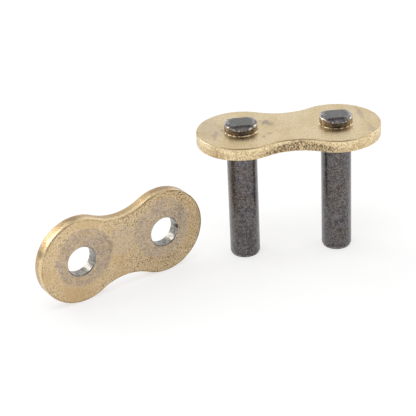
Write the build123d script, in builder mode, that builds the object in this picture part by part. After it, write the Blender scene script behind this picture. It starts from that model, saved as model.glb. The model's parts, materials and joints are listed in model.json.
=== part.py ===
from build123d import *
from math import cos, hypot, radians, sin, tan
import os

# A riveting-type connecting link for a roller chain, in millimetres: an outer plate with two pins
# pressed into it, standing on the pins' free ends, and the loose outer plate that closes the chain.
#
# The origin is on the fixed plate's inner face, midway between the pins. +X runs along the pitch
# towards the right pin and +Z up through the plate, so the pins hang down from the origin's plane.

# Chain
pitch = 15.875
pin_diameter = 5.08

# Side plates: two round ends joined by a hollow waist
plate_height = 14.9
waist_height = 10.9
plate_thickness = 2.1
roll_width = 0.3
roll_depth = 0.2
edge_break = 0.1
hole_break = 0.12

# Pins, below the fixed plate
pin_reach = 20.9
lead_height = 0.5
lead_width = 0.22
lead_rounding = 0.12
hollow_diameter = 2.6
hollow_angle = 90

# Pin heads, above the fixed plate. The overhangs are measured out from the pin's side, and the
# corner, the crown and the staked facets in from the head's widest line. The swell is how much
# staking has widened the pin, and its hole, by the plate's outer face.
head_overhang = 0.22
foot_overhang = 0.15
foot_height = 0.3
head_height = 1.5
head_wall = 1.12
corner_inset = 0.19
corner_height = 0.25
crown_inset = 0.86
stake_inset = 1.21
stake_angle = 29
stake_rounding = 0.08
stake_swell = 0.03

# Where the loose plate stands: how far its near end is clear of the fixed plate's end, how far that
# end is behind the line of the pins, and how far the plate is turned about the vertical
loose_gap = 0.41
loose_setback = 0.16
loose_turn = 28.5

half_pitch = pitch / 2
end_radius = plate_height / 2
half_length = half_pitch + end_radius
half_waist = waist_height / 2
floor_level = -pin_reach
# A pin is pressed into its hole, and both are drawn at the same diameter.
pin_radius = pin_diameter / 2
hole_radius = pin_radius
hollow_radius = hollow_diameter / 2
hollow_depth = hollow_radius / tan(radians(hollow_angle / 2))
head_radius = pin_radius + head_overhang
head_top = plate_thickness + head_height

# The waist is an arc that meets both round ends without a corner.
waist_radius = (half_pitch**2 + half_waist**2 - end_radius**2) / (2 * (end_radius - half_waist))
waist_centre = half_waist + waist_radius
centre_distance = hypot(half_pitch, waist_centre)
meeting_x = half_pitch - end_radius * half_pitch / centre_distance
meeting_y = end_radius * waist_centre / centre_distance

pin_places = {"left_rivet_pin": -half_pitch, "right_rivet_pin": half_pitch}

os.makedirs("parts", exist_ok=True)

# Pins, turned from bar and hardened: a tapered lead and a hollow for the riveting punch at the free
# end, a plain shank, and a head upset over the plate, then staked flat at its front and its back.
pins = []
for name, pin_x in pin_places.items():
    with BuildPart() as pin:
        with BuildSketch(Plane(origin=(pin_x, 0, 0), x_dir=(1, 0, 0), z_dir=(0, -1, 0))):
            with BuildLine():
                Polyline(
                    (0, head_top),
                    (head_radius - crown_inset, head_top),
                    (head_radius - corner_inset, plate_thickness + head_wall + corner_height),
                    (head_radius, plate_thickness + head_wall),
                    (head_radius, plate_thickness + foot_height),
                    (pin_radius + foot_overhang, plate_thickness),
                    (pin_radius + stake_swell, plate_thickness),
                    (pin_radius, 0),
                    (pin_radius, floor_level + lead_height),
                    (pin_radius - lead_width, floor_level),
                    (hollow_radius, floor_level),
                    (0, floor_level + hollow_depth),
                    close=True,
                )
            make_face()
        revolve(axis=Axis((pin_x, 0, 0), (0, 0, 1)))
        for side in (-1, 1):
            facet = Plane(
                origin=(pin_x, side * (head_radius - stake_inset), head_top),
                x_dir=(1, 0, 0),
                z_dir=(0, side * sin(radians(stake_angle)), cos(radians(stake_angle))),
            )
            split(bisect_by=facet, keep=Keep.BOTTOM)
        facets = pin.faces().filter_by(GeomType.PLANE).filter_by(Axis.Z, reverse=True)
        fillet(facets.edges(), radius=stake_rounding)
        lead_rim = pin.edges().group_by(Axis.Z)[0].sort_by(SortBy.RADIUS)[-1]
        fillet(lead_rim, radius=lead_rounding)
    pin.part.label = name
    export_step(pin.part, f"parts/{name}.step")
    pins.append(pin.part)

# A plate's plane lies on its inner face and looks out through its outer face. Beside it are the
# pins staked into the plate's holes.
turn_cos = cos(radians(loose_turn))
turn_sin = sin(radians(loose_turn))
loose_middle = Plane(
    origin=(
        -half_length - loose_gap - half_length * turn_cos,
        loose_setback - half_length * turn_sin,
        floor_level + end_radius,
    ),
    x_dir=(turn_cos, turn_sin, 0),
    z_dir=(turn_sin, -turn_cos, 0),
)
plates = {
    "fixed_side_plate": (Plane.XY, pins),
    "loose_side_plate": (loose_middle.offset(-plate_thickness / 2), []),
}

# Side plates, blanked from strip. The die rolls the rim of the outer face, and tumbling breaks the
# rim of the inner one. The two holes are punched through and lightly countersunk from both sides,
# and a staked pin swells its hole to its own shape.
for name, (inner_face, staked_pins) in plates.items():
    with BuildPart() as plate:
        with BuildSketch(inner_face):
            with BuildLine():
                right_end = ThreePointArc(
                    (meeting_x, -meeting_y), (half_length, 0), (meeting_x, meeting_y)
                )
                upper_waist = ThreePointArc(
                    right_end @ 1, (0, half_waist), (-meeting_x, meeting_y)
                )
                left_end = ThreePointArc(
                    upper_waist @ 1, (-half_length, 0), (-meeting_x, -meeting_y)
                )
                ThreePointArc(left_end @ 1, (0, -half_waist), right_end @ 0)
            make_face()
        extrude(amount=plate_thickness)
        outwards = Axis(inner_face.origin, inner_face.z_dir)
        back, *_, front = plate.faces().sort_by(outwards)
        chamfer(back.edges(), length=edge_break)
        chamfer(front.edges(), length=roll_width, length2=roll_depth, reference=front)
        with Locations(inner_face.offset(plate_thickness)):
            with GridLocations(pitch, 0, 2, 1):
                Hole(radius=hole_radius)
        hole_walls = plate.faces().filter_by(GeomType.CYLINDER).group_by(SortBy.RADIUS)[0]
        chamfer(hole_walls.edges().filter_by(GeomType.CIRCLE), length=hole_break)
        for staked_pin in staked_pins:
            add(staked_pin, mode=Mode.SUBTRACT)
    plate.part.label = name
    export_step(plate.part, f"parts/{name}.step")
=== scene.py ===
import json
import math

import bpy
from mathutils import Matrix, Vector, noise


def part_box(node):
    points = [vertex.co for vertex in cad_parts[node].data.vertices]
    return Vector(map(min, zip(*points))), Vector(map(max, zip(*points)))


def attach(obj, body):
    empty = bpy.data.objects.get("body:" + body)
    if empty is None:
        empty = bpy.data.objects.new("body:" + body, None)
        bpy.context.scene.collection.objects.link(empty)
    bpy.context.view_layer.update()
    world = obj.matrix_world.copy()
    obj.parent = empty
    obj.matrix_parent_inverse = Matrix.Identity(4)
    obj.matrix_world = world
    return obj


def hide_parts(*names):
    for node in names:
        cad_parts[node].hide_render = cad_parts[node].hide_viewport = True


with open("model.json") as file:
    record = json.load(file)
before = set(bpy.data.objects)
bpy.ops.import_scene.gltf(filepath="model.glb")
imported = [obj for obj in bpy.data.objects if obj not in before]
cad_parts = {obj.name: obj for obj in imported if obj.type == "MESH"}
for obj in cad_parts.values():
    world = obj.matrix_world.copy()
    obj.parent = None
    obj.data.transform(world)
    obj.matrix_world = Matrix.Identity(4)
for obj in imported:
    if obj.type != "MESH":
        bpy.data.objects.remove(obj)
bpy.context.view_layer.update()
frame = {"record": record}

MM = 0.001
mounts = {mount["name"]: mount for mount in frame["record"]["mounts"]}

# ---------------------------------------------------------------------------------------------
# Rivet pins. Two plain pins of through-hardened steel, turned from bar, dark from heat treatment.
# Each has a hollow for the riveting punch at its free end. At the other end it is pressed into the
# fixed plate, upset into a low head and staked flat at the head's front and back.

pin_radius = mounts["left_pin"]["dims"]["r_mm"] * MM
pin_places = {
    "left_rivet_pin": mounts["left_pin"]["pos_m"][0],
    "right_rivet_pin": mounts["right_pin"]["pos_m"][0],
}
plate_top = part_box("fixed_side_plate")[1].z
pin_low, pin_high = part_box("left_rivet_pin")
floor_level = pin_low.z
head_top = pin_high.z

# The shank's free end
hollow_radius = 1.3 * MM
hollow_depth = 1.3 * MM
lead_height = 0.5 * MM
lead_width = 0.22 * MM
lead_middle_width = 0.143 * MM
lead_rounding = 0.12 * MM
lead_rim_inset = 0.172 * MM
# Painted shade darkens the lead's rim up to this height, and a painted highlight brightens a ring
# above it.
lead_dark_height = 0.132 * MM
lead_highlight_height = 0.4 * MM
lead_highlight = 0.9

# The head, from its foot up
head_radius = pin_radius + 0.22 * MM
foot_radius = pin_radius + 0.15 * MM
foot_height = 0.3 * MM
head_corner = 0.26 * MM
corner_turn = math.radians(75)
crown_radius = 1.9 * MM
crown_height = 0.12 * MM
corner_low = head_top - crown_height - head_corner

# The staked facets: their line on the crown, their slope, how hollow and uneven they are, how
# wide their edges are worn, how wide the corner's band of wear and painted highlight is, and how
# much lighter the facets are painted.
stake_line = head_radius - 1.21 * MM
stake_slope = 0.9
stake_hollow = 0.32 / MM
stake_edge = 0.045 * MM
uneven_waves = 0.7 / MM
uneven_height = 0.03 * MM
worn_edge = 0.09 * MM
corner_bright_width = 0.27 * MM
facet_painted_light = 0.35

# Out from the crown's line, at the head's middle, the edges are less worn and less brightened
# as a highlight, and the side takes less of the painted reflection of the plate.
facet_middle_width = 1.4 * MM
facet_middle_brightness = 0.2
facet_middle_reflection = 0.3

# Divisions of the mesh
pin_sides = 160
corner_steps = 8
rounding_steps = 4
row_step = 0.1 * MM

# What a pin's mesh keeps at each of its points for the finish, each a number from 0 to 1
pin_marks = ("worn_and_highlight", "painted_light", "side", "struck", "lead")


def seen(red, green, blue):
    """A colour given as it looks on a screen, 0 to 255, in the shader's own linear values."""
    linear = []
    for level in (red, green, blue):
        share = level / 255
        linear.append(share / 12.92 if share <= 0.04045 else ((share + 0.055) / 1.055) ** 2.4)
    return (*linear, 1)


class Shade:
    """A socket of a finish, so that shader maths on numbers reads as an expression."""

    def __init__(self, tree, socket=None):
        self.tree = tree
        self.socket = socket

    def node(self, kind, settings=None, sockets=None, output=0):
        """Adds a node with its settings, and a value or a link for each socket that is given by
        its name, or by its number where a name is shared. Returns one of its outputs."""
        made = self.tree.nodes.new(kind)
        for name, value in (settings or {}).items():
            setattr(made, name, value)
        for name, value in (sockets or {}).items():
            if isinstance(value, Shade):
                self.tree.links.new(value.socket, made.inputs[name])
            else:
                made.inputs[name].default_value = value
        return Shade(self.tree, made.outputs[output] if made.outputs else None)

    def maths(self, operation, first, second):
        return self.node("ShaderNodeMath", {"operation": operation}, {0: first, 1: second})

    def __add__(self, other):
        return self.maths("ADD", self, other)

    def __sub__(self, other):
        return self.maths("SUBTRACT", self, other)

    def __rsub__(self, other):
        return self.maths("SUBTRACT", other, self)

    def __mul__(self, other):
        return self.maths("MULTIPLY", self, other)

    __radd__ = __add__
    __rmul__ = __mul__

    def rise(self, low, high):
        """0 below low, 1 above high and smooth between, or falling where low is the larger."""
        return self.node(
            "ShaderNodeMapRange",
            {"interpolation_type": "SMOOTHSTEP"},
            {"Value": self, "From Min": low, "From Max": high},
        )

    def between(self, colour, other):
        """The first colour where this number is 0 and the other where it is 1. The mix node's
        sockets 6 and 7 are its colours, and its output 2 is their mix."""
        return self.node(
            "ShaderNodeMix", {"data_type": "RGBA"}, {"Factor": self, 6: colour, 7: other}, output=2
        )


def new_finish(name, placement=Matrix.Identity(4)):
    """A material, its shading, and a place on the piece in millimetres in the piece's own frame."""
    material = bpy.data.materials.new(name)
    material.use_nodes = True
    material.node_tree.nodes.clear()
    shade = Shade(material.node_tree)
    place = shade.node("ShaderNodeTexCoord", output="Object")
    place = shade.node(
        "ShaderNodeMapping",
        {"vector_type": "TEXTURE"},
        {
            "Vector": place,
            "Location": placement.translation,
            "Rotation": placement.to_euler(),
            "Scale": (MM, MM, MM),
        },
    )
    return material, shade, place


def cloud(shade, place, scale, detail=2.0, roughness=0.5, stretch=None):
    """Soft noise from about 0.3 to 0.7. Scale is in waves for each millimetre."""
    if stretch:
        place = shade.node("ShaderNodeMapping", None, {"Vector": place, "Scale": stretch})
    return shade.node(
        "ShaderNodeTexNoise",
        None,
        {"Vector": place, "Scale": scale, "Detail": detail, "Roughness": roughness},
    )


def finish_metal(shade, colour, roughness, height, depth):
    """Closes a finish with one bare metal shader. Depth is the relief's height in metres."""
    relief = shade.node(
        "ShaderNodeBump", None, {"Height": height, "Distance": depth, "Strength": 1.0}
    )
    metal = shade.node(
        "ShaderNodeBsdfPrincipled",
        None,
        {"Base Color": colour, "Roughness": roughness, "Metallic": 1.0, "Normal": relief},
    )
    shade.node("ShaderNodeOutputMaterial", None, {"Surface": metal})


def kept_mark(shade, name):
    """A number from 0 to 1 that the mesh keeps at each of its points."""
    return shade.node("ShaderNodeAttribute", {"attribute_name": name}, output="Fac")


def pin_steel():
    """Hardened steel: dark grey, mottled by its heat treatment, bright where its edges are worn and
    brightened as a painted highlight, painted lighter on its shoulders and facets, with a painted
    golden-brown reflection of the plate round its head, and painted shade at its lead."""
    material, shade, place = new_finish("hardened_pin_steel")
    grain = cloud(shade, place, 4.2, detail=3, roughness=0.7)
    mottle = cloud(shade, place, 1.15, detail=3, roughness=0.6)
    ragged = cloud(shade, place, 1.6, detail=3, roughness=0.7)
    warmth = cloud(shade, place, 0.35, detail=2).rise(0.4, 0.6)
    tone = (0.72 * grain + 0.28 * mottle).rise(0.38, 0.62)
    light = warmth.between(seen(125, 122, 124), seen(126, 120, 117))
    dark = warmth.between(seen(68, 63, 65), seen(67, 60, 59))
    colour = tone.between(dark, light)
    worn_and_highlight, painted_light, side, struck, lead = (kept_mark(shade, name) for name in pin_marks)
    colour = (0.7 * struck).between(colour, seen(101, 102, 101))
    # Painted shade: the lead's rim is darkened.
    colour = (0.7 * lead).between(colour, seen(50, 46, 46))
    # Painted reflection: the plate's golden-brown on the head's side.
    plate_reflection = 0.1 + 0.3 * tone + 0.5 * mottle.rise(0.42, 0.58)
    colour = (side * plate_reflection).between(colour, seen(150, 132, 103))
    # Painted light: the shoulders and facets are lightened.
    colour = (painted_light * ragged.rise(0.38, 0.62)).between(colour, seen(146, 142, 137))
    # Worn bare steel at the edges, widened and brightened as a painted highlight.
    worn_and_highlight = (worn_and_highlight + 2.8 * (ragged - 0.5)).rise(0.52, 1.05)
    colour = worn_and_highlight.between(colour, seen(206, 202, 196))
    finish_metal(shade, colour, 0.18 + 0.1 * tone, grain, 0.012 * MM)
    return material


def begin_edit(piece, kind):
    """Goes into edit mode on one piece, with nothing on it selected."""
    bpy.ops.object.select_all(action="DESELECT")
    bpy.context.view_layer.objects.active = piece
    piece.select_set(True)
    bpy.ops.object.mode_set(mode="EDIT")
    bpy.ops.mesh.select_mode(type=kind)
    bpy.ops.mesh.select_all(action="DESELECT")
    bpy.ops.object.mode_set(mode="OBJECT")


def select_parts(parts, chosen):
    """Selects the vertices, edges or faces that the test picks, and returns to edit mode."""
    for part in parts:
        part.select = chosen(part)
    bpy.ops.object.mode_set(mode="EDIT")


def new_marks(piece, names):
    """Makes the piece keep a number, at first 0, at each of its points for each name."""
    for name in names:
        piece.data.attributes.new(name, "FLOAT", "POINT")
    return [piece.data.attributes[name] for name in names]


def clamp(number):
    """The number, kept from 0 to 1."""
    return min(1.0, max(0.0, number))


def next_ring(centre, radius, height, last_radius, last_height):
    """Extrudes the selected rim of a turned piece to its next radius and height."""
    bpy.ops.mesh.extrude_region_move()
    share = radius / last_radius
    pivot = (centre[0], centre[1], last_height)
    bpy.ops.transform.resize(value=(share, share, 1), center_override=pivot)
    bpy.ops.transform.translate(value=(0, 0, height - last_height))


def settle(piece):
    """Puts the piece's place into its mesh, so that its object sits at the origin unturned."""
    bpy.ops.object.select_all(action="DESELECT")
    bpy.context.view_layer.objects.active = piece
    piece.select_set(True)
    bpy.ops.object.transform_apply(location=True, rotation=True, scale=True)


def rows(first, second):
    """Rings from one to the next, the last one included, about one row_step apart."""
    count = max(1, round(math.dist(first, second) / row_step))
    return [
        tuple(low + (high - low) * step / count for low, high in zip(first, second))
        for step in range(1, count + 1)
    ]


def soft_lower(height, limit, edge):
    """The lower of two heights, rounded over where they meet as a worn edge is."""
    share = clamp(0.5 + 0.5 * (limit - height) / edge)
    return limit + (height - limit) * share - edge * share * (1 - share)


def mark_lead(pin, x, worn_and_highlight, lead):
    """Keeps the lead's rim, darkened as painted shade, and a ring above it painted bright as a
    highlight.
    """
    for vertex in pin.data.vertices:
        height = vertex.co.z - floor_level
        radius = math.hypot(vertex.co.x - x, vertex.co.y)
        if height <= lead_height and radius > pin_radius - lead_width - lead_rounding:
            worn_and_highlight.data[vertex.index].value = lead_highlight * (lead_rounding < height < lead_highlight_height)
            lead.data[vertex.index].value = height < lead_dark_height


def stake_head(pin, x):
    """Presses the head down at the front and back into slightly hollow facets. Keeps where its
    edges are worn and brightened as a highlight, where it is painted lighter, its side and its
    struck top."""
    begin_edit(pin, "FACE")
    for line in (-stake_line, stake_line):
        for off in (line - stake_edge, line + stake_edge):
            select_parts(pin.data.polygons, lambda face: face.center.z > plate_top)
            bpy.ops.mesh.bisect(plane_co=(x, off, 0), plane_no=(0, 1, 0))
            bpy.ops.object.mode_set(mode="OBJECT")
    worn_and_highlight, painted_light, side, struck, lead = new_marks(pin, pin_marks)
    mark_lead(pin, x, worn_and_highlight, lead)
    side_height = corner_low - plate_top
    for vertex in pin.data.vertices:
        height = vertex.co.z - plate_top
        if height <= 0:
            continue
        radius = math.hypot(vertex.co.x - x, vertex.co.y)
        past = abs(vertex.co.y) - stake_line
        uneven = noise.noise(Vector((vertex.co.x, vertex.co.y, 0)) * uneven_waves) * uneven_height
        fall = past * (stake_slope - stake_hollow * max(0.0, past))
        facet = head_top - plate_top - fall + uneven
        staked = clamp((height - facet) / worn_edge)
        facet_middle = (past > 0) * clamp(1 - abs(vertex.co.x - x) / facet_middle_width)
        if height < side_height:
            share = soft_lower(side_height, facet, worn_edge) / side_height
            vertex.co.z = plate_top + height * share
            bright = 1 - (side_height - height) / worn_edge
            # The side takes the painted reflection of the plate, less of it at the middle.
            side.data[vertex.index].value = 1 - (1 - facet_middle_reflection) * facet_middle
        else:
            to_rim = max(0.0, worn_edge - (head_radius - radius)) / worn_edge
            drop = worn_edge * (1 - math.sqrt(1 - to_rim**2)) * staked
            vertex.co.z = plate_top + soft_lower(height, facet, stake_edge) - drop
            from_corner = height - side_height - head_corner * math.sin(corner_turn / 2)
            # The corner's band and the rim are worn, and brightened as a painted highlight.
            bright = max(1 - abs(from_corner) / corner_bright_width, to_rim)
            # Painted light on the shoulders, and less of it on the facets.
            shoulder = (1 - staked) * (radius > crown_radius)
            painted_light.data[vertex.index].value = max(shoulder, facet_painted_light * staked)
            struck.data[vertex.index].value = (1 - staked) * (radius < crown_radius)
        wear = 1 - (1 - facet_middle_brightness) * facet_middle
        worn_and_highlight.data[vertex.index].value = clamp(bright) * wear


def rivet_pin(name, x):
    """Turns a pin, ring by ring from its punched hollow up to its crown, then stakes its head."""
    bpy.ops.object.select_all(action="DESELECT")
    bpy.ops.mesh.primitive_cone_add(
        vertices=pin_sides,
        radius1=hollow_radius,
        radius2=0,
        depth=hollow_depth,
        end_fill_type="NOTHING",
        location=(x, 0, floor_level + hollow_depth / 2),
    )
    pin = bpy.context.object
    pin.name = name
    settle(pin)
    begin_edit(pin, "VERT")
    select_parts(pin.data.vertices, lambda v: v.co.z < floor_level + lead_rounding)
    rings = []
    for step in range(rounding_steps + 1):
        turn = math.pi / 2 * step / rounding_steps
        inset = lead_rim_inset + lead_rounding * (1 - math.sin(turn))
        rings.append((pin_radius - inset, floor_level + lead_rounding * (1 - math.cos(turn))))
    rings += [
        (pin_radius - lead_middle_width, floor_level + lead_height / 2),
        (pin_radius, floor_level + lead_height),
        (pin_radius, plate_top),
        (foot_radius, plate_top),
        (head_radius, plate_top + foot_height),
    ]
    rings += rows(rings[-1], (head_radius, corner_low))
    for step in range(1, corner_steps + 1):
        turn = corner_turn * step / corner_steps
        inset = head_corner * (1 - math.cos(turn))
        rings.append((head_radius - inset, corner_low + head_corner * math.sin(turn)))
    rings += rows(rings[-1], (crown_radius, head_top))
    rings += rows(rings[-1], (row_step, head_top))
    last = (hollow_radius, floor_level)
    for ring in rings:
        next_ring((x, 0), *ring, *last)
        last = ring
    bpy.ops.mesh.edge_face_add()
    bpy.ops.mesh.select_all(action="SELECT")
    bpy.ops.mesh.remove_doubles(threshold=0.0001 * MM)
    bpy.ops.mesh.normals_make_consistent(inside=False)
    bpy.ops.object.mode_set(mode="OBJECT")
    stake_head(pin, x)
    bpy.ops.object.shade_smooth_by_angle(angle=math.radians(30))
    return pin


steel = pin_steel()
for name, x in pin_places.items():
    pin = rivet_pin(name + "_finished", x)
    pin.data.materials.append(steel)
    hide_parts(name)
    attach(pin, "root")

# ---------------------------------------------------------------------------------------------
# Side plates. Two like plates blanked from carbon-steel strip and plated a satin gold. The tools
# leave a rolled rim on the outer face, a torn brown edge at the waist and bright bores. The fixed
# plate is pressed over both pins, and the loose one stands on its edge beside them.

half_pitch = pin_places["right_rivet_pin"]
plate_low, plate_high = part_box("fixed_side_plate")
thickness = plate_high.z - plate_low.z
end_radius = plate_high.y
half_waist = 5.45 * MM
roll_width = 0.3 * MM
roll_depth = 0.2 * MM
edge_break = 0.1 * MM
hole_break = 0.12 * MM
hole_surround = pin_radius + 0.48 * MM

# Divisions of the mesh
wall_step = 0.09 * MM
roll_steps = 5

# The torn part of the blanked edge, in millimetres: how high it reaches above the inner face at
# its middle, how far it falls off to its ends, and over what height it fades.
torn_height = 2.2
torn_fall = 1.5
torn_fade = 0.5

# Its strokes and its grain: their waves a millimetre along X, Y and the plate's thickness, the
# level above which a stroke sinks, and how fast it does.
stroke_waves = Vector((3.2, 3.2, 1.1))
grain_waves = Vector((5, 5, 3))
stroke_level = -0.15
stroke_gain = 1.6

# The band of the rolled rim that is smoother, and on the loose plate painted bright as a
# highlight, and the line just inside it that is painted dark as shade: middle and half width, as
# shares of the rim's height.
rolled_band = (0.3, 0.5)
crease_shade_band = (0.95, 0.05)

# What a plate's mesh keeps at each of its points
plate_marks = ("torn", "rolled", "painted_crease_shade")

# The burr round a head's foot: its half width, its divisions, how much taller than round and how
# jagged it is, how far it wanders, and the waves of its steps, its nicks and its wandering.
burr_width = 0.085 * MM
burr_sides = 300
burr_ring_sides = 12
burr_tallness = 1.5
burr_jag = 0.9
burr_wander = 0.6
step_waves = 4
nick_waves = 22
wander_waves = 9

# Smudges on the fixed plate's outer face, and patches of painted shade on the loose plate's edge:
# place from the plate's middle in millimetres, half width and half length, turn in degrees, and
# strength.
fixed_face_marks = (
    ((-3.4, 1.9), (1.2, 1.7), 20, 0.7),
    ((-3.6, -2.2), (0.6, 0.5), 0, 0.5),
    ((-4.6, -3.5), (0.5, 0.4), 0, 0.5),
    ((-12.9, 0.5), (3.4, 6.0), 0, 0.22),
    ((-12.4, -1.4), (0.6, 2.2), -10, 0.3),
    ((-11.0, 0.2), (0.5, 1.4), 0, 0.35),
    ((12.5, 2.6), (0.5, 3.4), 4, 0.4),
    ((13.2, -3.7), (0.9, 2.4), 8, 0.35),
)
loose_edge_shade_patches = (
    ((-8.3, 7.4), (1.7, 1.2), 0, 0.5),
    ((-14.6, 3.3), (0.7, 0.8), 0, 0.5),
    ((8.2, 7.4), (2.8, 1.2), 0, 0.45),
    ((12.4, 5.9), (1.4, 1.6), 0, 0.6),
    ((-14.6, -3.4), (1.2, 2.2), 0, 0.3),
)

# A dark, slightly sunk spot at the mouth of the right bore, given as a smudge is but without a
# strength, and the rubbed rings on the loose plate: place, radius and strength.
bore_dark_spot = ((10.5, 0.2), (0.35, 0.5), 0)
loose_rub_marks = (
    ((-7.3, 0.5), 5.2, 1.0),
    ((7.6, 0.9), 5.3, 0.85),
    ((-0.4, 1.4), 2.7, 0.5),
)


def arc_steps(radius, angle):
    """How many steps of about one wall_step an arc is spun in."""
    return round(radius * angle / wall_step)


def plate_outline():
    """Spins one vertex round the four centres: the right end, the waist, the left end, the waist."""
    waist_radius = half_pitch**2 + half_waist**2 - end_radius**2
    waist_radius /= 2 * (end_radius - half_waist)
    waist_centre = half_waist + waist_radius
    end_angle = math.atan2(waist_centre, -half_pitch)
    waist_angle = math.atan2(half_pitch, waist_centre)
    start = (
        half_pitch + end_radius * math.cos(end_angle),
        -end_radius * math.sin(end_angle),
        edge_break,
    )
    bpy.ops.object.select_all(action="DESELECT")
    bpy.ops.mesh.primitive_plane_add(size=wall_step, location=start)
    plate = bpy.context.object
    settle(plate)
    begin_edit(plate, "VERT")
    select_parts(plate.data.vertices, lambda v: True)
    bpy.ops.mesh.merge(type="CENTER")
    for centre, radius, angle in (
        ((half_pitch, 0, 0), end_radius, -2 * end_angle),
        ((0, waist_centre, 0), waist_radius, 2 * waist_angle),
        ((-half_pitch, 0, 0), end_radius, -2 * end_angle),
        ((0, -waist_centre, 0), waist_radius, 2 * waist_angle),
    ):
        bpy.ops.mesh.spin(
            steps=arc_steps(radius, abs(angle)), angle=angle, center=centre, axis=(0, 0, 1)
        )
    bpy.ops.mesh.select_all(action="SELECT")
    bpy.ops.mesh.remove_doubles(threshold=wall_step / 10)
    bpy.ops.mesh.edge_face_add()
    bpy.ops.object.mode_set(mode="OBJECT")
    return plate


def from_hole_middle(place):
    """How far a place on a plate is from the middle of the nearer hole."""
    return min(math.hypot(place.x - x, place.y) for x in pin_places.values())


def raise_wall(plate):
    """Extrudes the blank to its thickness, rolls the outer rim and breaks the inner one."""
    wall_height = thickness - roll_depth - edge_break
    layers = round(wall_height / wall_step)
    begin_edit(plate, "FACE")
    select_parts(plate.data.polygons, lambda face: True)
    for _ in range(layers):
        bpy.ops.mesh.extrude_region_move(
            TRANSFORM_OT_translate={"value": (0, 0, wall_height / layers)}
        )
    for step in range(roll_steps):
        start, end = (math.pi / 2 * turn / roll_steps for turn in (step, step + 1))
        inset = roll_width * (math.cos(start) - math.cos(end))
        lift = roll_depth * (math.sin(end) - math.sin(start))
        bpy.ops.mesh.inset(thickness=inset, depth=lift)
    bpy.ops.object.mode_set(mode="OBJECT")
    begin_edit(plate, "FACE")
    select_parts(
        plate.data.polygons,
        lambda face: len(face.vertices) > 4 and face.center.z < thickness / 2,
    )
    bpy.ops.mesh.inset(thickness=edge_break / 3, depth=edge_break * 2 / 3)
    bpy.ops.mesh.inset(thickness=edge_break * 2 / 3, depth=edge_break / 3)
    bpy.ops.mesh.select_all(action="SELECT")
    bpy.ops.mesh.normals_make_consistent(inside=False)
    bpy.ops.object.mode_set(mode="OBJECT")


def punch_holes(plate):
    """Cuts the two holes, with a light countersink at both mouths. The punch widens from one
    hole_break inside each face to one outside it."""
    through = thickness - 2 * hole_break
    mouth_share = (pin_radius + 2 * hole_break) / pin_radius
    for x in pin_places.values():
        bpy.ops.object.select_all(action="DESELECT")
        bpy.ops.mesh.primitive_cylinder_add(
            vertices=pin_sides, radius=pin_radius, depth=through, location=(x, 0, thickness / 2)
        )
        punch = bpy.context.object
        settle(punch)
        for side in (-1, 1):
            begin_edit(punch, "FACE")
            select_parts(punch.data.polygons, lambda face: face.normal.z * side > 0.9)
            bpy.ops.mesh.extrude_region_move()
            pivot = (x, 0, thickness / 2)
            bpy.ops.transform.resize(value=(mouth_share, mouth_share, 1), center_override=pivot)
            bpy.ops.transform.translate(value=(0, 0, side * 2 * hole_break))
            bpy.ops.object.mode_set(mode="OBJECT")
        cut = plate.modifiers.new("hole", "BOOLEAN")
        cut.object = punch
        cut.operation = "DIFFERENCE"
        bpy.context.view_layer.objects.active = plate
        bpy.ops.object.modifier_apply(modifier=cut.name)
        bpy.data.objects.remove(punch)


def tear_wall(plate, depth, grain, middle, left, right, torn_share):
    """Sinks torn strokes and a fine grain into the blanked edge. The torn part reaches left and
    right of a middle, in millimetres along X. Keeps how torn the edge is, and its rim's bands."""
    torn, rolled, painted_crease_shade = new_marks(plate, plate_marks)
    outwards = [vertex.normal.copy() for vertex in plate.data.vertices]
    for vertex, outward in zip(plate.data.vertices, outwards):
        if from_hole_middle(vertex.co) < hole_surround:
            continue
        past = (vertex.co.z - (thickness - roll_depth)) / roll_depth
        for mark, (band_middle, half_width) in ((rolled, rolled_band), (painted_crease_shade, crease_shade_band)):
            mark.data[vertex.index].value = clamp(1 - abs(past - band_middle) / half_width)
        on_a_face = abs(outward.z) > 0.7
        if on_a_face:
            continue
        spot = vertex.co / MM
        off = abs(spot.x - middle) / (left if spot.x < middle else right)
        share = clamp(2 - 2 * off) * clamp((torn_height - torn_fall * off - spot.z) / torn_fade)
        stroke = noise.fractal(spot * stroke_waves, 1.0, 2.0, 3)
        speck = noise.noise(spot * grain_waves)
        sunk = clamp((stroke - stroke_level) * stroke_gain) * share
        flat_out = Vector((outward.x, outward.y, 0)).normalized()
        vertex.co -= flat_out * (sunk * depth + max(0.0, speck) * grain)
        torn.data[vertex.index].value = torn_share * share


def raise_burr(plate, finish):
    """Adds the jagged lip of plate metal that the riveting raised round each head's foot."""
    plate.data.materials.append(finish)
    for x in pin_places.values():
        bpy.ops.object.select_all(action="DESELECT")
        bpy.ops.mesh.primitive_torus_add(
            location=(x, 0, plate_top),
            major_segments=burr_sides,
            minor_segments=burr_ring_sides,
            major_radius=foot_radius + burr_width,
            minor_radius=burr_width,
        )
        burr = bpy.context.object
        settle(burr)
        for vertex in burr.data.vertices:
            around = math.atan2(vertex.co.y, vertex.co.x - x)
            spot = Vector((math.cos(around), math.sin(around), x / half_pitch))
            jag = noise.fractal(spot * step_waves, 1.0, 2.0, 3) + 0.5 * noise.noise(spot * nick_waves)
            lift = burr_tallness + burr_jag * max(-1.0, min(1.0, jag))
            vertex.co.z = plate_top + (vertex.co.z - plate_top) * lift
            outward = Vector((math.cos(around), math.sin(around), 0))
            vertex.co += outward * burr_width * burr_wander * noise.noise(spot * wander_waves)
        burr.data.materials.append(finish)
        bpy.ops.object.shade_smooth_by_angle(angle=math.radians(60))
        plate.select_set(True)
        bpy.context.view_layer.objects.active = plate
        bpy.ops.object.join()


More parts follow.
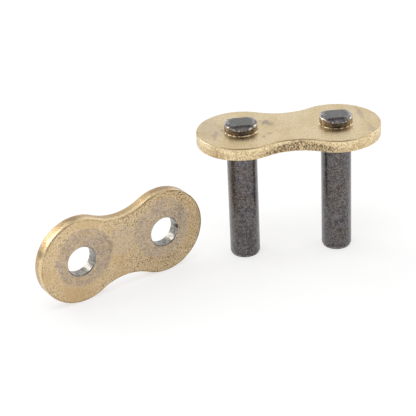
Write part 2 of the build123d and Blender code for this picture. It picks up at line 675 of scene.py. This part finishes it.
def dress_plate(plate, face_finish, edge_finish, bore_finish):
    """Gives the faces, the blanked edge and the punched bores their own finish."""
    for finish in (face_finish, edge_finish, bore_finish):
        plate.data.materials.append(finish)
    face_slot, edge_slot, bore_slot = range(3)
    for face in plate.data.polygons:
        upright = abs(face.normal.z) < 0.9
        if from_hole_middle(face.center) < pin_radius + 0.9 * hole_break:
            face.material_index = bore_slot
        elif 0.9 * edge_break < face.center.z < thickness - roll_depth and upright:
            face.material_index = edge_slot
        else:
            face.material_index = face_slot
    bpy.ops.object.select_all(action="DESELECT")
    bpy.context.view_layer.objects.active = plate
    plate.select_set(True)
    bpy.ops.object.shade_smooth_by_angle(angle=math.radians(35))


def plating(shade, place, fresh, dull, grain_share):
    """Satin gold plating on tumbled steel: its colour and its relief."""
    broad = cloud(shade, place, 0.3, detail=3)
    fine = cloud(shade, place, 2.8, detail=3, roughness=0.7)
    pits = cloud(shade, place, 4.4, detail=2.5, roughness=0.6)
    pits = (pits + 0.35 * (broad - 0.5)).rise(0.52, 0.72)
    glints = cloud(shade, place, 6.5, detail=1).rise(0.55, 0.7)
    colour = (0.5 * broad + 0.5 * fine).rise(0.38, 0.62).between(dull, fresh)
    colour = (grain_share * pits).between(colour, seen(100, 76, 48))
    colour = (0.5 * grain_share * glints).between(colour, seen(252, 238, 206))
    return colour, fine + 0.6 * broad - 0.8 * grain_share * pits


def smudge(shade, place, spot, size, turn, level=thickness / MM):
    """A patch of dirt or wear, ragged at its edge, at a spot and a level of a plate."""
    across = shade.node(
        "ShaderNodeMapping",
        {"vector_type": "TEXTURE"},
        {
            "Vector": place,
            "Location": (*spot, level),
            "Rotation": (0, 0, math.radians(turn)),
            "Scale": (*size, 2.0),
        },
    )
    away = shade.node("ShaderNodeVectorMath", {"operation": "LENGTH"}, {0: across}, output="Value")
    ragged = cloud(shade, place, 1.1, detail=4, roughness=0.75)
    return (away + 3.2 * (ragged - 0.5)).rise(1.0, 0.35)


def fixed_plate_gold(placement):
    """The fixed plate's faces: clean gold with smudges, a bright rolled rim and a line inside it
    painted dark as shade.
    """
    material, shade, place = new_finish("fixed_plate_gold", placement)
    colour, relief = plating(shade, place, seen(224, 205, 168), seen(205, 183, 140), 0.25)
    dirt = 0.0
    for spot, size, turn, strength in fixed_face_marks:
        dirt = dirt + strength * smudge(shade, place, spot, size, turn)
    colour = dirt.between(colour, seen(146, 134, 128))
    rolled = kept_mark(shade, "rolled")
    painted_crease_shade = kept_mark(shade, "painted_crease_shade")
    patchy = cloud(shade, place, 0.8, detail=3, roughness=0.7).rise(0.42, 0.58)
    # Painted shade: a dark line where the rolled rim meets the face.
    colour = (0.7 * painted_crease_shade * patchy).between(colour, seen(142, 114, 78))
    finish_metal(shade, colour, 0.27 + 0.15 * dirt - 0.1 * rolled, relief, 0.03 * MM)
    return material


def loose_plate_gold(placement):
    """The loose plate's faces: gold, painted darker to the right as shade and more pitted there,
    rubbed grey-brown by its neighbours round its holes, with a rolled rim painted bright as a
    highlight and a line inside it painted dark as shade."""
    material, shade, place = new_finish("loose_plate_gold", placement)
    along = shade.node("ShaderNodeSeparateXYZ", None, {"Vector": place}, output="X")
    # Towards the right the gold is painted darker as shade, and it is more pitted there.
    shade_and_pits_right = along.rise(-6, 10)
    fresh = shade_and_pits_right.between(seen(221, 197, 158), seen(204, 182, 147))
    dull = shade_and_pits_right.between(seen(201, 172, 129), seen(189, 161, 119))
    colour, relief = plating(shade, place, fresh, dull, 0.7 + 0.6 * shade_and_pits_right)
    flat = shade.node("ShaderNodeMapping", None, {"Vector": place, "Scale": (1, 1, 0)})
    scallop = cloud(shade, place, 0.5, detail=1)
    ragged = cloud(shade, place, 2.2, detail=2, roughness=0.7)
    rubbed = 0.0
    arcs = 0.0
    for centre, radius, strength in loose_rub_marks:
        off = shade.node(
            "ShaderNodeVectorMath", {"operation": "SUBTRACT"}, {0: flat, 1: (*centre, 0)}
        )
        away = shade.node("ShaderNodeVectorMath", {"operation": "LENGTH"}, {0: off}, output="Value")
        around = shade.node("ShaderNodeVectorMath", {"operation": "NORMALIZE"}, {0: off})
        lifted = shade.node("ShaderNodeCombineXYZ", None, {"Z": 1.2 * away})
        swept = shade.node("ShaderNodeVectorMath", None, {0: around, 1: lifted})
        ring = away + (scallop - 0.5) + 1.4 * (ragged - 0.5)
        ring = strength * ring.rise(radius + 0.2, radius - 0.3)
        rubbed = rubbed + ring * (1 - rubbed)
        arcs = arcs + ring * cloud(shade, swept, 2.8, detail=3, roughness=0.7)
    left_gold = cloud(shade, place, 0.8, detail=5, roughness=0.85).rise(0.44, 0.6)
    rubbed = rubbed * (1 - 0.6 * left_gold)
    scribble = cloud(shade, place, 4.6, detail=2, roughness=0.7)
    scribble = (0.6 * scribble + 0.4 * arcs).rise(0.42, 0.58)
    grey = scribble.between(seen(200, 184, 168), seen(156, 138, 122))
    colour = (0.85 * rubbed).between(colour, grey)
    rolled = kept_mark(shade, "rolled")
    painted_crease_shade = kept_mark(shade, "painted_crease_shade")
    # Painted highlight: the rolled rim is lightened.
    colour = (0.5 * rolled).between(colour, seen(234, 212, 168))
    patchy = cloud(shade, place, 0.8, detail=3, roughness=0.7).rise(0.38, 0.55)
    # Painted shade: a dark line where the rolled rim meets the face.
    colour = (0.85 * painted_crease_shade * patchy).between(colour, seen(106, 80, 52))
    relief = relief - 0.8 * rubbed * scribble
    finish_metal(shade, colour, 0.28 + 0.1 * rubbed - 0.12 * rolled, relief, 0.035 * MM)
    return material


def blanked_edge(name, placement, fresh, dull, burnish_and_highlight, shade_patches=()):
    """The edge that the die sheared: plated strokes down its height, burnished beside the rolled
    rim and painted lighter there as a highlight, duller below and painted darker as shade, darker
    still at its patches of painted shade, brown where the steel tore and dark in its pits as
    painted shade."""
    material, shade, place = new_finish(name, placement)
    strokes = cloud(shade, place, 4.6, detail=2, roughness=0.6, stretch=(1, 1, 0.6))
    patch = cloud(shade, place, 0.8, detail=3, roughness=0.7)
    colour = (0.7 * strokes + 0.3 * patch).rise(0.4, 0.6).between(dull, fresh)
    height = shade.node("ShaderNodeSeparateXYZ", None, {"Vector": place}, output="Z")
    band = burnish_and_highlight * (height + 1.2 * (patch - 0.5)).rise(1.1, 1.4)
    # Below the band the edge is duller and painted darker as shade.
    colour = (0.5 * (burnish_and_highlight - band)).between(colour, seen(176, 148, 108))
    # The band is smoother and painted lighter as a highlight.
    colour = (0.35 * band).between(colour, seen(240, 216, 168))
    # Patches of painted shade along the edge.
    for spot, size, turn, strength in shade_patches:
        shaded = strength * smudge(shade, place, spot, size, turn, level=thickness / MM / 2)
        colour = shaded.between(colour, seen(130, 104, 80))
    torn = kept_mark(shade, "torn")
    colour = (0.4 * torn * patch.rise(0.4, 0.6)).between(colour, seen(150, 120, 92))
    # Brown torn steel, darkened in its pits as painted shade.
    pits = cloud(shade, place, 5.0, detail=2, roughness=0.55, stretch=(1, 1, 0.8))
    brown = (pits + 0.1 * torn).rise(0.57, 0.68) * (0.2 + 0.65 * torn)
    colour = brown.between(colour, seen(80, 56, 50))
    roughness = 0.3 + 0.12 * strokes - 0.1 * band
    finish_metal(shade, colour, roughness, 0.6 * strokes - brown, 0.04 * MM)
    return material


def punched_bore(name, placement):
    """Bare steel with fine streaks from the punch, and one dark, slightly sunk spot at the right
    bore's mouth.
    """
    material, shade, place = new_finish(name, placement)
    streak = cloud(shade, place, 2.2, detail=3, roughness=0.7, stretch=(1, 1, 0.4))
    colour = streak.rise(0.38, 0.62).between(seen(118, 114, 112), seen(162, 158, 149))
    dark_spot = smudge(shade, place, *bore_dark_spot)
    colour = dark_spot.between(colour, seen(40, 34, 32))
    finish_metal(shade, colour, 0.24 + 0.1 * streak, streak - dark_spot, 0.02 * MM)
    return material


def burr_metal():
    """Raised plate metal: bright, partly as a painted highlight, with brown painted in its folds as
    shade.
    """
    material, shade, place = new_finish("riveting_burr")
    fold = cloud(shade, place, 1.3, detail=3, roughness=0.7)
    # Painted highlight in the bright tone, and painted shade in the brown of the folds.
    colour = fold.rise(0.38, 0.6).between(seen(140, 108, 78), seen(250, 234, 202))
    finish_metal(shade, colour, 0.25 + 0.1 * fold, fold, 0.02 * MM)
    return material


def towards(first, second):
    """The direction from one mount to another."""
    return (Vector(second["pos_m"]) - Vector(first["pos_m"])).normalized()


# Both plates are made as the fixed one lies, and the loose one is then placed. A placement gives a
# finish the plate's own frame: its middle on the inner face, X to its right hole and Z outwards.
fixed_placement = Matrix.Identity(4)
loose_across = towards(mounts["loose_left_hole"], mounts["loose_right_hole"])
loose_out = -Vector(mounts["loose_plate_inner_face"]["axis"])
loose_turn = Matrix((loose_across, loose_out.cross(loose_across), loose_out)).transposed()
loose_placement = Matrix.Translation(mounts["loose_plate_inner_face"]["pos_m"]) @ loose_turn.to_4x4()

blank = plate_outline()
raise_wall(blank)
punch_holes(blank)

fixed_plate = blank
fixed_plate.name = "fixed_side_plate_finished"
bpy.ops.object.select_all(action="DESELECT")
fixed_plate.select_set(True)
bpy.ops.object.duplicate()
loose_plate = bpy.context.selected_objects[0]
loose_plate.name = "loose_side_plate_finished"

tear_wall(
    fixed_plate, depth=0.09 * MM, grain=0.02 * MM, middle=1.0, left=9, right=9, torn_share=1.0
)
dress_plate(
    fixed_plate,
    fixed_plate_gold(fixed_placement),
    blanked_edge("fixed_plate_edge", fixed_placement, seen(246, 228, 188), seen(196, 170, 128), 0.3),
    punched_bore("fixed_plate_bore", fixed_placement),
)
raise_burr(fixed_plate, burr_metal())
tear_wall(
    loose_plate, depth=0.03 * MM, grain=0.015 * MM, middle=-1.0, left=7, right=5, torn_share=0.25
)
dress_plate(
    loose_plate,
    loose_plate_gold(loose_placement),
    blanked_edge(
        "loose_plate_edge",
        loose_placement,
        seen(222, 198, 155),
        seen(200, 172, 134),
        1.0,
        loose_edge_shade_patches,
    ),
    punched_bore("loose_plate_bore", loose_placement),
)
loose_plate.matrix_world = loose_placement
settle(loose_plate)

for plate, node in ((fixed_plate, "fixed_side_plate"), (loose_plate, "loose_side_plate")):
    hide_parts(node)
    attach(plate, "root")

# ---------------------------------------------------------------------------------------------
# The setting: a white floor, a white surround that darkens overhead towards the front, a soft box
# at the left and behind, a weaker one at the right, and a broad lamp overhead for the shadows.

floor_size = 3
floor_glow_seen = 0.64
floor_glow_mirrored = 0.35
dark_centre = Vector((0, -0.6, 0.8)).normalized()
dark_share = 0.85


def floor_white():
    """A white floor that stays white to the camera and in the metal, and still takes a shadow."""
    material = bpy.data.materials.new("white_floor")
    material.use_nodes = True
    material.node_tree.nodes.clear()
    shade = Shade(material.node_tree)
    camera_ray = shade.node("ShaderNodeLightPath", output="Is Camera Ray")
    glossy_ray = shade.node("ShaderNodeLightPath", output="Is Glossy Ray")
    lit = shade.node("ShaderNodeBsdfDiffuse", None, {"Color": seen(250, 250, 250)})
    glow = shade.node("ShaderNodeEmission", None, {"Color": (1, 1, 1, 1), "Strength": 1.0})
    share = floor_glow_seen * camera_ray + floor_glow_mirrored * glossy_ray
    mixed = shade.node("ShaderNodeMixShader", None, {"Fac": share, 1: lit, 2: glow})
    shade.node("ShaderNodeOutputMaterial", None, {"Surface": mixed})
    return material


bpy.ops.object.select_all(action="DESELECT")
bpy.ops.mesh.primitive_plane_add(size=floor_size, location=(0, 0, floor_level))
floor = bpy.context.object
floor.name = "floor"
floor.data.materials.append(floor_white())

world = bpy.data.worlds.new("surround")
bpy.context.scene.world = world
world.use_nodes = True
world.node_tree.nodes.clear()
sky = Shade(world.node_tree)
direction = sky.node("ShaderNodeTexCoord", output="Generated")
towards_dark = sky.node(
    "ShaderNodeVectorMath",
    {"operation": "DOT_PRODUCT"},
    {0: direction, 1: dark_centre},
    output="Value",
)
camera_ray = sky.node("ShaderNodeLightPath", output="Is Camera Ray")
level = 1 - dark_share * towards_dark.rise(0.6, 1.0)
level = level + camera_ray * (1 - level)
light = sky.node("ShaderNodeBackground", None, {"Color": (1, 1, 1, 1), "Strength": level})
sky.node("ShaderNodeOutputWorld", None, {"Surface": light})


def soft_box(name, side, distance, width, height, radiance, glossy=True):
    """A rectangular area lamp of a given brightness, on one side of the link and facing it."""
    bpy.ops.object.light_add(type="AREA")
    lamp = bpy.context.object
    lamp.name = name
    lamp.data.shape = "RECTANGLE"
    lamp.data.size = width
    lamp.data.size_y = height
    lamp.data.energy = radiance * math.pi * width * height
    lamp.visible_camera = False
    lamp.visible_glossy = glossy
    place = Vector(side).normalized() * distance
    facing = place.to_track_quat("Z", "Y").to_matrix().to_4x4()
    lamp.matrix_world = Matrix.Translation(place) @ facing


soft_box(
    "left_soft_box", side=(-0.80, 0.43, 0.50), distance=0.4, width=0.16, height=0.22, radiance=2.5
)
soft_box(
    "right_soft_box", side=(0.80, 0.35, 0.45), distance=0.4, width=0.16, height=0.16, radiance=1.8
)
soft_box(
    "shadow_lamp",
    side=(-0.13, -0.31, 0.94),
    distance=0.5,
    width=0.3,
    height=0.3,
    radiance=3.2,
    glossy=False,
)

# The camera, in the link's frame: where it stands, how far it is turned about the vertical, looks
# down and is rolled, in radians, and its focal length over the width of its frame.
camera_place = (-30.55 * MM, -219.37 * MM, 105.02 * MM)
camera_turn = -0.0751
camera_down = 0.4888
camera_roll = -0.0508
frame_width = 416
focal_length = 1471.1
sensor_width = 36
bpy.ops.object.camera_add()
camera = bpy.context.object
camera.data.sensor_width = sensor_width
camera.data.lens = focal_length / frame_width * sensor_width
camera.data.clip_start = 0.01
camera.data.clip_end = 10
camera.matrix_world = (
    Matrix.Translation(camera_place)
    @ Matrix.Rotation(camera_turn, 4, "Z")
    @ Matrix.Rotation(math.pi / 2 - camera_down, 4, "X")
    @ Matrix.Rotation(camera_roll, 4, "Z")
)
bpy.context.scene.camera = camera
bpy.context.scene.view_settings.view_transform = "Standard"
